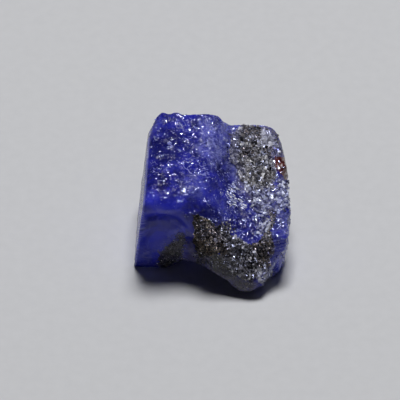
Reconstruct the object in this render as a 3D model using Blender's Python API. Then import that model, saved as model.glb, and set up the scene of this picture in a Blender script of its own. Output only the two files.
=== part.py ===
"""Rough tanzanite: one broken crystal of blue zoisite, with graphite and calcite rock grown into it.

Metres, +Z up. The stone rests on the XY plane, with the middle of its footprint at the origin.
-Y is its undercut front, and -X is its one smooth cleavage face. The outline is worked out as the
distance of the surface from a point inside the stone, along the rays of an evenly divided cube.
"""

from typing import NamedTuple

import bmesh
import bpy
import numpy as np

MM = 0.001

# The heart is the point inside the stone that its faces are measured from.
HEART = (0.06 * MM, 0.15 * MM, 6.0 * MM)
GRID_CUTS = 79
SEARCH_REACH = 14 * MM
SEARCH_STEPS = 26
TRIANGLES_KEPT = 11000


class Facet(NamedTuple):
    """A plane of the stone: where it faces, in degrees, and how far it lies from the heart.

    Azimuth 0 faces -Y, the front, and 90 faces +X. Elevation 90 faces up.
    """

    azimuth: float
    elevation: float
    distance: float


# The top is a high crown on the left and a lower slope on the right, with a step between them.
CROWN = Facet(0, 79.5, 5.49 * MM)
SLOPE = Facet(16, 65.5, 2.60 * MM)
STEP_FRONT = (-2.6 * MM, 3.0 * MM)
STEP_BACK = (0.0 * MM, 1.9 * MM)
STEP_DEPTHS = (-7.0 * MM, 6.0 * MM)

# The front leans in on the left, and stands forward on the right in a blunt foot.
UNDERCUT = Facet(-6, -14.5, 5.07 * MM)
FOOT = Facet(-19, -1, 6.54 * MM)
FOOT_RISE = (-3.2 * MM, 0.9 * MM)

# A sloping brow takes off the front edge of the top, by less on the left.
BROW = Facet(12, 32, 5.15 * MM)
BROW_LEFT = 0.30 * MM

SIDES = (
    Facet(83, 24.7, 7.22 * MM),
    Facet(92, -6.2, 7.48 * MM),
    Facet(94, 47, 8.70 * MM),
    Facet(52, -15.8, 9.12 * MM),
    Facet(85, -35, 9.32 * MM),
    Facet(136, -6, 8.20 * MM),
    Facet(179, 10, 6.93 * MM),
    Facet(-115.5, 10, 8.75 * MM),
    Facet(-85, 38.7, 8.29 * MM),
    Facet(8, -52.6, 8.87 * MM),
    Facet(183, -30, 7.45 * MM),
    Facet(175, -82, 6.20 * MM),
    Facet(0, -90, 6.42 * MM),
)
EDGE_SOFTNESS = 0.3 * MM

# These two planes are cut last and stay truly flat.
CLEAVAGE = Facet(-92, 6, 7.19 * MM)
REST = Facet(0, -90, HEART[2])


class Bulge(NamedTuple):
    """An ellipsoid, as its middle from the heart and its half lengths."""

    middle: tuple
    radii: tuple


SCOOP = Bulge((-5.0 * MM, -6.6 * MM, -0.9 * MM), (3.2 * MM, 2.8 * MM, 4.0 * MM))
ARCH = Bulge((-1.3 * MM, -7.0 * MM, -6.7 * MM), (3.9 * MM, 5.8 * MM, 3.07 * MM))
NICK = Bulge((6.1 * MM, -6.2 * MM, -5.2 * MM), (0.8 * MM, 1.5 * MM, 1.8 * MM))
HOLLOWS = (SCOOP, ARCH, NICK)
HOLLOW_SOFTNESS = 0.2 * MM
LOBES = (
    Bulge((-5.0 * MM, 6.0 * MM, 6.4 * MM), (0.7 * MM, 1.4 * MM, 1.4 * MM)),
    Bulge((-3.7 * MM, 6.0 * MM, 6.4 * MM), (0.7 * MM, 1.4 * MM, 1.4 * MM)),
    Bulge((-1.1 * MM, 5.9 * MM, 6.7 * MM), (1.5 * MM, 1.4 * MM, 1.4 * MM)),
    Bulge((3.2 * MM, 5.6 * MM, 4.9 * MM), (2.0 * MM, 1.6 * MM, 1.6 * MM)),
    Bulge((5.4 * MM, 5.0 * MM, 4.6 * MM), (1.6 * MM, 1.6 * MM, 1.4 * MM)),
    Bulge((7.15 * MM, 2.4 * MM, 2.5 * MM), (0.7 * MM, 0.8 * MM, 0.8 * MM)),
)
LOBE_HEIGHT = 0.32 * MM

# Cleavage ledges run nearly level round the right side, each standing proud of the one above it.
LEDGE_SIDE = Facet(75, -14, 5.3 * MM)
LEDGE_SPREAD = 1.3 * MM
LEDGE_RISE = 1.25 * MM
LEDGE_DEPTH = 0.13 * MM
LEDGE_DIP = (0.05, 0.14)
LEDGE_LIP = 0.3

WANDER = 0.16 * MM
WANDER_WAVES = (6.1 * MM, 3.7 * MM)


class Fracture(NamedTuple):
    """Shell-like fracture facets: their width, how deep they lie, and the seed of their layout."""

    width: float
    depth: float
    seed: int


FRACTURES = (Fracture(3.6 * MM, 0.10, 8), Fracture(1.5 * MM, 0.16, 5))
FACET_TILT = 0.6
FACET_CURVE = 0.8
SCATTER_AXES = np.array(
    (
        (127.1, 269.5, 419.2, 91.7, 313.3, 157.9),
        (311.7, 183.3, 371.9, 217.1, 77.3, 239.1),
        (74.7, 246.1, 168.2, 331.9, 191.7, 53.3),
    )
)
SCATTER_GAIN = 43758.5453

BLUE = (0.040, 0.042, 0.205, 1.0)
ROUGHNESS = 0.35


def facing(facet):
    """Returns the unit vector that a facet faces."""
    turn, rise = np.radians((facet.azimuth, facet.elevation))
    return np.array((np.sin(turn) * np.cos(rise), -np.cos(turn) * np.cos(rise), np.sin(rise)))


def beyond(points, facet):
    """Returns how far each point lies outside a facet's plane."""
    return points @ facing(facet) - facet.distance


def outside(points, bulge):
    """Returns about how far each point lies outside an ellipsoid."""
    scaled = (points - np.array(bulge.middle)) / np.array(bulge.radii)
    return (np.linalg.norm(scaled, axis=1) - 1) * min(bulge.radii)


def eased(values, start, end):
    """Returns 0 up to the start and 1 from the end, with a smooth rise between."""
    part = np.clip((values - start) / (end - start), 0, 1)
    return part * part * (3 - 2 * part)


def soft_maximum(layers, softness):
    """Returns the largest of the layers at each point, with the corners between them rounded."""
    layers = np.array(layers)
    largest = layers.max(axis=0)
    return largest + softness * np.log(np.exp((layers - largest) / softness).sum(axis=0))


def wandered(points):
    """Returns the points moved by slow waves, so that no plane stays perfectly flat."""
    moved = points.copy()
    for wave in WANDER_WAVES:
        shift = np.sin(points[:, (1, 2, 0)] * (2 * np.pi / wave) + (0.4, 1.9, 3.3))
        moved += shift * WANDER * wave / sum(WANDER_WAVES)
    return moved


def ledges(points):
    """Returns how far the ledges stand out: a saw of the height with blunt teeth, on the right side only."""
    height = points[:, 2] + points[:, :2] @ LEDGE_DIP
    tooth = np.mod(-height / LEDGE_RISE, 1)
    saw = tooth - eased(tooth, 1 - LEDGE_LIP, 1)
    return LEDGE_DEPTH * saw * eased(beyond(points, LEDGE_SIDE), 0, LEDGE_SPREAD)


def body(points):
    """Returns how far each point, measured from the heart, lies outside the unbroken form."""
    bent = wandered(points)
    across, along = bent[:, 0], bent[:, 1]
    depth = np.clip((along - STEP_DEPTHS[0]) / (STEP_DEPTHS[1] - STEP_DEPTHS[0]), 0, 1)
    start = STEP_FRONT[0] + (STEP_BACK[0] - STEP_FRONT[0]) * depth
    end = STEP_FRONT[1] + (STEP_BACK[1] - STEP_FRONT[1]) * depth
    low = eased(across, start, end)
    forward = eased(across, *FOOT_RISE)
    top = (1 - low) * beyond(bent, CROWN) + low * beyond(bent, SLOPE)
    front = (1 - forward) * beyond(bent, UNDERCUT) + forward * beyond(bent, FOOT)
    brow = beyond(bent, BROW) - BROW_LEFT * (1 - forward)
    planes = [top, front, brow] + [beyond(bent, side) for side in SIDES]
    form = soft_maximum(planes, EDGE_SOFTNESS)
    form = soft_maximum([form] + [-outside(bent, hollow) for hollow in HOLLOWS], HOLLOW_SOFTNESS)
    for lobe in LOBES:
        scaled = (points - np.array(lobe.middle)) / np.array(lobe.radii)
        form = form - LOBE_HEIGHT * np.exp(-1.5 * (scaled * scaled).sum(axis=1))
    return form - ledges(bent)


def scattered(cells, seed):
    """Returns six even random numbers from 0 to 1 for each whole-numbered cell."""
    return np.modf(np.abs(np.sin(cells @ SCATTER_AXES + seed)) * SCATTER_GAIN)[0]


def fractured(points, fracture):
    """Returns the height of shell-like facets: the lowest of tilted bowls round scattered centres."""
    scaled = points / fracture.width
    home = np.floor(scaled)
    lowest = np.full(len(points), np.inf)
    for neighbour in np.ndindex(3, 3, 3):
        cell = home + neighbour - 1
        random = scattered(cell, fracture.seed)
        offset = scaled - cell - random[:, :3]
        tilt = (random[:, 3:] * 2 - 1) * FACET_TILT
        bowl = FACET_CURVE * (offset * offset).sum(axis=1) + (tilt * offset).sum(axis=1)
        lowest = np.minimum(lowest, bowl)
    return lowest * fracture.depth * fracture.width


def surface(rays):
    """Returns the stone's surface along each ray from the heart.

    The unbroken form is found by halving the reach again and again, and the facets are then added
    along the ray.
    """
    near = np.zeros(len(rays))
    far = np.full(len(rays), SEARCH_REACH)
    for _ in range(SEARCH_STEPS):
        middle = (near + far) / 2
        inside = body(rays * middle[:, None]) < 0
        near = np.where(inside, middle, near)
        far = np.where(inside, far, middle)
    relief = sum(fractured(rays * near[:, None], fracture) for fracture in FRACTURES)
    return rays * (near + relief)[:, None]


def collection_named(name):
    """Returns a new collection, linked to the scene."""
    collection = bpy.data.collections.new(name)
    bpy.context.scene.collection.children.link(collection)
    return collection


def object_from(grid, name, collection):
    """Turns a bmesh into an object in a collection."""
    mesh = bpy.data.meshes.new(name)
    grid.to_mesh(mesh)
    grid.free()
    item = bpy.data.objects.new(name, mesh)
    collection.objects.link(item)
    return item


def rough_body(collection):
    """Makes the broken body: a divided cube whose points are moved out along their rays."""
    grid = bmesh.new()
    bmesh.ops.create_cube(grid, size=2)
    bmesh.ops.subdivide_edges(grid, edges=grid.edges, cuts=GRID_CUTS, use_grid_fill=True)
    cube = np.array([vertex.co for vertex in grid.verts])
    even = np.tan(cube * (np.pi / 4))
    rays = even / np.linalg.norm(even, axis=1, keepdims=True)
    for vertex, place in zip(grid.verts, surface(rays)):
        vertex.co = place
    stone = object_from(grid, "rough_tanzanite", collection)
    stone.location = HEART
    thin = stone.modifiers.new("keep_main_facets", "DECIMATE")
    thin.ratio = TRIANGLES_KEPT / (2 * len(stone.data.polygons))
    return stone


def cut_flat(stone, facet, name, collection):
    """Cuts the stone flat along a facet's plane, with a block that lies wholly outside it."""
    size = 3 * SEARCH_REACH
    grid = bmesh.new()
    bmesh.ops.create_cube(grid, size=size)
    block = object_from(grid, name, collection)
    turn, rise = np.radians((facet.azimuth, facet.elevation))
    block.rotation_euler = (-rise, 0, turn)
    block.location = np.array(HEART) + facing(facet) * (facet.distance + size / 2)
    block.hide_render = True
    block.display_type = "WIRE"
    cut = stone.modifiers.new(name, "BOOLEAN")
    cut.operation = "DIFFERENCE"
    cut.object = block


def crystal_material():
    """Makes the violet-blue of the crystal."""
    material = bpy.data.materials.new("tanzanite")
    material.use_nodes = True
    shader = material.node_tree.nodes["Principled BSDF"]
    shader.inputs["Base Color"].default_value = BLUE
    shader.inputs["Roughness"].default_value = ROUGHNESS
    shader.inputs["Metallic"].default_value = 0.0
    return material


def main():
    """Clears the scene and makes the stone."""
    for item in list(bpy.data.objects):
        bpy.data.objects.remove(item, do_unlink=True)
    parts = collection_named("rough_tanzanite")
    cutters = collection_named("cutters")
    stone = rough_body(parts)
    cut_flat(stone, CLEAVAGE, "cleavage_cut", cutters)
    cut_flat(stone, REST, "rest_cut", cutters)
    stone.data.materials.append(crystal_material())


main()
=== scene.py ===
"""Dresses a piece of rough tanzanite: blue hackly crystal with rock, graphite, calcite and a garnet grown in.

The stone's form repeats the model's own faces, and adds the fine breaks, the mineral patches and the grains.
Places on the stone are measured from its heart, +X to the right of the front view and +Z up.
"""

from __future__ import annotations

import logging
import math
from dataclasses import dataclass, field, replace
from enum import Enum, IntEnum

import bpy
import numpy as np
from mathutils import Euler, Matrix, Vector


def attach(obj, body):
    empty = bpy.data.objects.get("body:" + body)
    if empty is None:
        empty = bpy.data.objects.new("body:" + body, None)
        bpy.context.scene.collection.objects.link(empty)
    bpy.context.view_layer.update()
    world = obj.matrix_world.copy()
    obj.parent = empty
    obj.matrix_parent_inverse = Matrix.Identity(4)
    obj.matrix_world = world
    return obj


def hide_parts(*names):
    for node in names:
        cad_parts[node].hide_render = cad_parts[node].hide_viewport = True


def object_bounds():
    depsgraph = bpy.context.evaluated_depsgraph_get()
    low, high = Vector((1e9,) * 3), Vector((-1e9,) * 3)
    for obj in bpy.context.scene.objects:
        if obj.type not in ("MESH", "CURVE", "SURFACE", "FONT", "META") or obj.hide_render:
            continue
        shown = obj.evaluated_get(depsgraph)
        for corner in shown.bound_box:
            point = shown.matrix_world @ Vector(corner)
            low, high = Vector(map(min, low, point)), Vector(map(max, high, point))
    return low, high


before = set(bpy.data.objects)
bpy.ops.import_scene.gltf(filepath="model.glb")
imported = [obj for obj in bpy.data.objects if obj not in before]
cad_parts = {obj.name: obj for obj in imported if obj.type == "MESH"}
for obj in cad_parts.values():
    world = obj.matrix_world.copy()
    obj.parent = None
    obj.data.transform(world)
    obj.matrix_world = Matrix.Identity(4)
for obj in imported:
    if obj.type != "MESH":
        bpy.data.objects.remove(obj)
CAD_BOX = [list(corner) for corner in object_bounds()]

LOG = logging.getLogger("rough_tanzanite")
MM = 0.001
HEART = np.array((0.06, 0.15, 6.0)) * MM
BODY = "root"
NODE = "rough_tanzanite"
BLACK = (0, 0, 0)
WHITE = (1, 1, 1)
HAZE = (0.20, 0.20, 0.40)
HAZE_SHARE = 0.5
Triple = tuple[float, float, float]
Colour = tuple[float, float, float, float]
Pairs = tuple[tuple[float, float], ...]
Stops = tuple[tuple[float, Triple], ...]
Socket = bpy.types.NodeSocket
Value = Socket | float | tuple | str


# Shapes and noise on whole arrays of points


def facing(azimuth: float, elevation: float) -> np.ndarray:
    """The direction that a face looks in: azimuth 0 is -Y, 90 is +X, and elevation is above the horizon."""
    turn, rise = np.radians((azimuth, elevation))
    return np.array((np.sin(turn) * np.cos(rise), -np.cos(turn) * np.cos(rise), np.sin(rise)))


def eased(values: np.ndarray, start: float, end: float) -> np.ndarray:
    """0 before start, 1 after end, and an S-shaped cubic between them."""
    part = np.clip((values - start) / (end - start), 0, 1)
    return part * part * (3 - 2 * part)


def soft_maximum(layers: list[np.ndarray], softness: float) -> np.ndarray:
    """The largest layer at each point, with its creases rounded: softness times the log of a sum of powers.

    Args:
        layers: One array of values for each layer.
        softness: How wide a crease is, in the layers' own unit.

    Returns:
        The rounded maximum at each point.
    """
    stack = np.array(layers)
    largest = stack.max(axis=0)
    return largest + softness * np.log(np.exp((stack - largest) / softness).sum(axis=0))


def scattered(cells: np.ndarray, seed: float, values: int = 6) -> np.ndarray:
    """Up to six values from 0 to 1 for each cell: what a large multiple of a sine of its place leaves over 1.

    Args:
        cells: The places of the cells, as whole numbers in rows of three.
        seed: What is added before the sine.
        values: How many values each cell gets.

    Returns:
        A row of values for each cell.
    """
    axes = np.array(
        (
            (127.1, 269.5, 419.2, 91.7, 313.3, 157.9),
            (311.7, 183.3, 371.9, 217.1, 77.3, 239.1),
            (74.7, 246.1, 168.2, 331.9, 191.7, 53.3),
        )
    )
    gain = 43758.5453
    return np.modf(np.abs(np.sin(cells @ axes[:, :values] + seed)) * gain)[0]


def lattice_noise(points: np.ndarray, width: float, seed: float) -> np.ndarray:
    """Smooth noise from -1 to 1: random values at the corners of cubes of that width, eased between them.

    Args:
        points: The points, in metres.
        width: The width of a cube, in metres.
        seed: The seed of the values.

    Returns:
        A value for each point.
    """
    scaled = points / width
    home = np.floor(scaled)
    part = eased(scaled - home, 0, 1)
    ends = np.stack((1 - part, part), axis=2)
    total = np.zeros(len(points))
    for x, y, z in np.ndindex(2, 2, 2):
        weight = ends[:, 0, x] * ends[:, 1, y] * ends[:, 2, z]
        total += weight * scattered(home + (x, y, z), seed, 1)[:, 0]
    return total * 2 - 1


def layered_noise(points: np.ndarray, width: float, seed: float, layers: int = 3) -> np.ndarray:
    """Lattice noise with finer layers on it, each half as wide and a little over half as strong.

    Args:
        points: The points, in metres.
        width: The width of the widest layer's cubes, in metres.
        seed: The first layer's seed; each finer one adds 1.
        layers: How many layers there are.

    Returns:
        A value from -1 to 1 for each point.
    """
    fade = 0.55
    parts = [lattice_noise(points, width / 2**n, seed + n) * fade**n for n in range(layers)]
    return sum(parts) / sum(fade**n for n in range(layers))


def shakes(points: np.ndarray, width: float, amount: float, seed: float) -> np.ndarray:
    """How layered noise moves each point, so that an edge is ragged; width and amount in millimetres."""
    shifts = [layered_noise(points, width * MM, seed + 10 * axis, 4) for axis in range(3)]
    return np.stack(shifts, axis=1) * amount * MM


@dataclass(frozen=True)
class Facet:
    """A flat side of the stone: where it looks, in degrees, and how far it stands from the heart."""

    azimuth: float
    elevation: float
    distance: float

    def beyond(self, points: np.ndarray) -> np.ndarray:
        """How far each point stands outside this side: its height along the normal, less the distance."""
        return points @ facing(self.azimuth, self.elevation) - self.distance * MM


@dataclass(frozen=True)
class Bulge:
    """An ellipsoid, for a hollow or a raised lobe, in millimetres from the heart."""

    middle: Triple
    radii: Triple

    def scaled(self, points: np.ndarray) -> np.ndarray:
        """Where each point is from the middle, as shares of the radii, so that the skin is 1 away."""
        return (points / MM - np.array(self.middle)) / np.array(self.radii)

    def inside(self, points: np.ndarray) -> np.ndarray:
        """1 at the ellipsoid's middle, 0 on its skin and below 0 outside it."""
        return 1 - np.linalg.norm(self.scaled(points), axis=1)


@dataclass(frozen=True)
class Break:
    """A layer of shell-like breaks: the width of one, its depth as a share of that, and its seed."""

    width: float
    depth: float
    seed: float
    tilt: float = 0.6
    curve: float = 0.8

    def height(self, points: np.ndarray) -> np.ndarray:
        """The lowest of the tilted bowls that stand in the 27 cells around each point.

        Args:
            points: The points, in metres from the heart.

        Returns:
            How high the relief stands at each point, in metres.
        """
        scaled = points / (self.width * MM)
        home = np.floor(scaled)
        lowest = np.full(len(points), np.inf)
        for neighbour in np.ndindex(3, 3, 3):
            cell = home + neighbour - 1
            random = scattered(cell, self.seed)
            offset = scaled - cell - random[:, :3]
            slope = (random[:, 3:] * 2 - 1) * self.tilt
            bowl = self.curve * (offset * offset).sum(axis=1) + (slope * offset).sum(axis=1)
            lowest = np.minimum(lowest, bowl)
        return lowest * self.depth * self.width * MM


def cube_sphere(cells: int) -> tuple[np.ndarray, np.ndarray]:
    """Rays in every direction and the squares between them, closed with no poles.

    Each side of a cube is a grid of two parameters, spaced by equal angles, and shared edges are welded.

    Args:
        cells: Squares along each edge of the cube.

    Returns:
        The unit rays, and the four ray numbers of each square, turning outwards.
    """
    line = np.arange(cells + 1)
    across, along = np.meshgrid(line, line, indexing="ij")
    base = cells + 1
    squares = []
    for axis in range(3):
        for end in (0, cells):
            lattice = np.empty((base, base, 3), dtype=np.int64)
            lattice[..., axis] = end
            lattice[..., (axis + 1) % 3] = across
            lattice[..., (axis + 2) % 3] = along
            key = lattice @ np.array((1, base, base * base))
            corners = (key[:-1, :-1], key[1:, :-1], key[1:, 1:], key[:-1, 1:])
            square = np.stack(corners, axis=-1).reshape(-1, 4)
            squares.append(square if end else square[:, ::-1])
    faces = np.concatenate(squares)
    unique = np.unique(faces)
    lattice = np.stack((unique % base, unique // base % base, unique // (base * base)), axis=-1)
    rays = np.tan((lattice / cells * 2 - 1) * np.pi / 4)
    rays /= np.linalg.norm(rays, axis=1, keepdims=True)
    return rays, np.searchsorted(unique, faces)


def point_normals(points: np.ndarray, faces: np.ndarray) -> np.ndarray:
    """The unit normal at each point: the mean of the crossed diagonals of the squares around it.

    Args:
        points: The points of the mesh.
        faces: The four point numbers of each square.

    Returns:
        A unit vector for each point.
    """
    corners = points[faces]
    crossed = np.cross(corners[:, 2] - corners[:, 0], corners[:, 3] - corners[:, 1])
    normals = np.zeros_like(points)
    for corner in range(4):
        for axis in range(3):
            normals[:, axis] += np.bincount(faces[:, corner], crossed[:, axis], len(points))
    return normals / (np.linalg.norm(normals, axis=1, keepdims=True) + 1e-30)


def mesh_object(name: str, points: np.ndarray, faces: np.ndarray, smooth: bool) -> bpy.types.Object:
    """A mesh object at the origin, from arrays of its points in metres and its faces.

    Args:
        name: The piece's name.
        points: The points, in metres.
        faces: The point numbers of each face.
        smooth: Whether the faces are shaded as one rounded surface.

    Returns:
        The object, in the scene.
    """
    mesh = bpy.data.meshes.new(name)
    mesh.from_pydata(points.tolist(), [], faces.tolist())
    mesh.update()
    mesh.polygons.foreach_set("use_smooth", np.full(len(faces), smooth))
    piece = bpy.data.objects.new(name, mesh)
    bpy.context.scene.collection.objects.link(piece)
    return piece


def store(piece: bpy.types.Object, name: str, values: np.ndarray) -> None:
    """Keeps a number for each point of a mesh, or a colour where values has four columns.

    Args:
        piece: The mesh object.
        name: The attribute's name.
        values: A number, or four of them, for each point.
    """
    colour = values.ndim == 2
    kind = "FLOAT_COLOR" if colour else "FLOAT"
    attribute = piece.data.attributes.new(name, kind, "POINT")
    attribute.data.foreach_set("color" if colour else "value", values.astype(np.float32).ravel())


# The stone's form


@dataclass(frozen=True)
class StoneForm:
    """The broken crystal's main faces, hollows and ledges, in millimetres and degrees."""

    crown: Facet = Facet(0, 79.5, 5.49)
    slope: Facet = Facet(16, 65.5, 2.60)
    step_front: tuple[float, float] = (-2.6, 3.0)
    step_back: tuple[float, float] = (0.0, 1.9)
    step_depths: tuple[float, float] = (-7.0, 6.0)
    undercut: Facet = Facet(-6, -14.5, 5.07)
    foot: Facet = Facet(-19, -1, 6.54)
    foot_rise: tuple[float, float] = (-3.2, 0.9)
    brow: Facet = Facet(12, 32, 5.15)
    brow_left: float = 0.30
    sides: tuple[Facet, ...] = (
        Facet(83, 24.7, 7.22),
        Facet(92, -6.2, 7.48),
        Facet(94, 47, 8.70),
        Facet(52, -15.8, 9.12),
        Facet(85, -35, 9.32),
        Facet(136, -6, 8.20),
        Facet(179, 10, 6.93),
        Facet(-115.5, 10, 8.75),
        Facet(-85, 38.7, 8.29),
        Facet(8, -52.6, 8.87),
        Facet(183, -30, 7.45),
        Facet(175, -82, 6.20),
        Facet(0, -90, 6.42),
    )
    edge_softness: float = 0.3
    cleavage: Facet = Facet(-92, 6, 7.19)
    rest: Facet = Facet(0, -90, 6.0)
    flat_edge: float = 0.035
    least_slant: float = 0.05
    hollows: tuple[Bulge, ...] = (
        Bulge((-5.0, -6.6, -0.9), (3.2, 2.8, 4.0)),
        Bulge((-1.3, -7.0, -6.7), (3.9, 5.8, 3.07)),
        Bulge((6.1, -6.2, -5.2), (0.8, 1.5, 1.8)),
    )
    hollow_softness: float = 0.2
    lobes: tuple[Bulge, ...] = (
        Bulge((-5.0, 6.0, 6.4), (0.7, 1.4, 1.4)),
        Bulge((-3.7, 6.0, 6.4), (0.7, 1.4, 1.4)),
        Bulge((-1.1, 5.9, 6.7), (1.5, 1.4, 1.4)),
        Bulge((3.2, 5.6, 4.9), (2.0, 1.6, 1.6)),
        Bulge((5.4, 5.0, 4.6), (1.6, 1.6, 1.4)),
        Bulge((7.15, 2.4, 2.5), (0.7, 0.8, 0.8)),
    )
    lobe_height: float = 0.32
    lobe_fall: float = 1.5
    ledge_side: Facet = Facet(75, -14, 5.3)
    ledge_spread: float = 1.3
    ledge_rise: float = 1.25
    ledge_depth: float = 0.13
    ledge_dip: tuple[float, float] = (0.05, 0.14)
    ledge_lip: float = 0.3
    thin_steps: float = 4
    thin_lip: Triple = (0.6, 0.8, 0.85)
    thin_shake: Triple = (1.1, 0.12, 57)
    wander: float = 0.16
    wander_waves: tuple[float, float] = (6.1, 3.7)
    wander_phases: Triple = (0.4, 1.9, 3.3)
    breaks: tuple[Break, ...] = (Break(3.6, 0.10, 8), Break(1.5, 0.16, 5))
    reach: float = 14
    halvings: int = 26

    def wandered(self, points: np.ndarray) -> np.ndarray:
        """The points shifted by sines of their own places, so that no side of the stone is quite flat.

        Args:
            points: The points, in metres from the heart.

        Returns:
            The shifted points.
        """
        moved = points.copy()
        for wave in self.wander_waves:
            shift = np.sin(points[:, (1, 2, 0)] * (2 * np.pi / (wave * MM)) + self.wander_phases)
            moved += shift * self.wander * MM * wave / sum(self.wander_waves)
        return moved

    def ledge_teeth(self, points: np.ndarray, rise: float) -> np.ndarray:
        """How far down its own ledge each point is, from 0 to 1: a saw of the height, bent by a dip."""
        height = points[:, 2] + points[:, :2] @ self.ledge_dip
        return np.mod(-height / (rise * MM), 1)

    def ledge_share(self, bent: np.ndarray) -> np.ndarray:
        """1 on the side that has the ledges, fading to 0 over the spread."""
        return eased(self.ledge_side.beyond(bent), 0, self.ledge_spread * MM)

    def ledges(self, bent: np.ndarray) -> np.ndarray:
        """The depth of the cleavage steps on the right side: a blunt saw of the height.

        Args:
            bent: The wandered points.

        Returns:
            How deep each point lies in its step, in metres.
        """
        tooth = self.ledge_teeth(bent, self.ledge_rise)
        saw = tooth - eased(tooth, 1 - self.ledge_lip, 1)
        return self.ledge_depth * MM * saw * self.ledge_share(bent)

    def ledge_lips(self, points: np.ndarray) -> np.ndarray:
        """How pale the lips of the thin steps on the right side are: a band near the end of each saw tooth.

        Args:
            points: The points, in metres from the heart.

        Returns:
            The paleness, from 0 to 1.
        """
        bent = self.wandered(points)
        start, full, end = self.thin_lip
        thin = self.ledge_teeth(bent + shakes(points, *self.thin_shake), self.ledge_rise / self.thin_steps)
        return self.ledge_share(bent) * eased(thin, start, full) * (1 - eased(thin, end, 1))

    def body(self, points: np.ndarray) -> np.ndarray:
        """About how far each point stands outside the stone: the rounded maximum of its faces and hollows.

        Args:
            points: The points, in metres from the heart.

        Returns:
            Metres outside the stone, and less than 0 within it.
        """
        bent = self.wandered(points)
        across, along = bent[:, 0] / MM, bent[:, 1] / MM
        shallow, deep = self.step_depths
        depth = np.clip((along - shallow) / (deep - shallow), 0, 1)
        start, end = (near + (far - near) * depth for near, far in zip(self.step_front, self.step_back))
        low = eased(across, start, end)
        forward = eased(across, *self.foot_rise)
        top = (1 - low) * self.crown.beyond(bent) + low * self.slope.beyond(bent)
        front = (1 - forward) * self.undercut.beyond(bent) + forward * self.foot.beyond(bent)
        brow = self.brow.beyond(bent) - self.brow_left * MM * (1 - forward)
        planes = [top, front, brow] + [side.beyond(bent) for side in self.sides]
        form = soft_maximum(planes, self.edge_softness * MM)
        hollows = [hollow.inside(bent) * min(hollow.radii) * MM for hollow in self.hollows]
        form = soft_maximum([form] + hollows, self.hollow_softness * MM)
        for lobe in self.lobes:
            scaled = lobe.scaled(points)
            form = form - self.lobe_height * MM * np.exp(-self.lobe_fall * (scaled * scaled).sum(axis=1))
        return form - self.ledges(bent)

    def surface(self, rays: np.ndarray) -> np.ndarray:
        """Where each ray from the heart leaves the stone, found by halving, with the large breaks added.

        Args:
            rays: Unit rays from the heart.

        Returns:
            A point on each ray, in metres from the heart.
        """
        near = np.zeros(len(rays))
        step = self.reach * MM
        for _ in range(self.halvings):
            step /= 2
            near += step * (self.body(rays * (near + step)[:, None]) < 0)
        relief = sum(layer.height(rays * near[:, None]) for layer in self.breaks)
        return rays * (near + relief)[:, None]

    def cut_flat(self, points: np.ndarray, lamina: np.ndarray) -> np.ndarray:
        """Pulls points towards the heart onto the cleavage and the rest, with a slightly rounded cleavage
        edge.

        Args:
            points: The surface, from the heart.
            lamina: How far the cleavage's thin layers stand back from it at each point.

        Returns:
            The surface with both flats.
        """
        reach = np.linalg.norm(points, axis=1)
        rays = points / reach[:, None]
        slant = rays @ facing(self.cleavage.azimuth, self.cleavage.elevation)
        limit = (self.cleavage.distance * MM - lamina) / np.maximum(slant, self.least_slant)
        reach = -soft_maximum([-reach, -limit], self.flat_edge * MM)
        down = np.maximum(-rays[:, 2], self.least_slant)
        reach = np.minimum(reach, self.rest.distance * MM / down)
        return rays * reach[:, None]


# Which mineral shows where


class Mineral(IntEnum):
    """What the stone's surface is made of, in the order of its material slots."""

    TANZANITE = 0
    ROCK = 1
    GRAPHITE = 2
    CALCITE = 3
    GARNET = 4


PATCH_SHAKE = (1.3, 0.55, 31)
SEEN_RISE = math.radians(40)
SEEN_RIGHT = np.array((1.0, 0.0, 0.0))
SEEN_UP = np.array((0.0, math.sin(SEEN_RISE), math.cos(SEEN_RISE)))
SEEN_NEAR = np.array((0.0, -math.cos(SEEN_RISE), math.sin(SEEN_RISE)))


@dataclass(frozen=True)
class Area:
    """An area drawn on the stone as it is seen from the front and 40 degrees above.

    The corners are pairs of numbers: millimetres right and up from the heart in that view. The area wraps
    round the edge of the view as far as `wrap` millimetres behind the heart.
    """

    corners: tuple[float, ...]
    strength: float = 1.0
    wrap: float = 2.5
    shake: float = 1.0

    def within(self, points: np.ndarray) -> np.ndarray:
        """How far each point lies within the area, in millimetres, and less than 0 outside it.

        It is the distance to the nearest side, and a point is within where a line from it crosses the sides
        an odd number of times.

        Args:
            points: The points, in metres from the heart.

        Returns:
            Millimetres for each point.
        """
        places = np.stack((points @ SEEN_RIGHT, points @ SEEN_UP), axis=1) / MM
        corners = np.array(self.corners).reshape(-1, 2)
        nearest = np.full(len(points), np.inf)
        odd = np.zeros(len(points), dtype=bool)
        for start, end in zip(corners, np.roll(corners, -1, axis=0)):
            side = end - start
            away = places - start
            share = np.clip(away @ side / (side @ side), 0, 1)
            nearest = np.minimum(nearest, np.linalg.norm(away - share[:, None] * side, axis=1))
            spans = (start[1] > places[:, 1]) != (end[1] > places[:, 1])
            crossing = start[0] + away[:, 1] * side[0] / (side[1] + 1e-9)
            odd ^= spans & (places[:, 0] < crossing)
        behind = np.maximum(0, -self.wrap - points @ SEEN_NEAR / MM)
        return np.where(odd, nearest, -nearest) - behind


@dataclass(frozen=True)
class Blob(Bulge):
    """A round place on the stone."""

    strength: float = 1.0
    shake: float = 1.0

    def within(self, points: np.ndarray) -> np.ndarray:
        """About how far each point lies within the ellipsoid, in millimetres, and less than 0 outside it."""
        return self.inside(points) * np.mean(self.radii)


Place = Area | Blob


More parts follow.
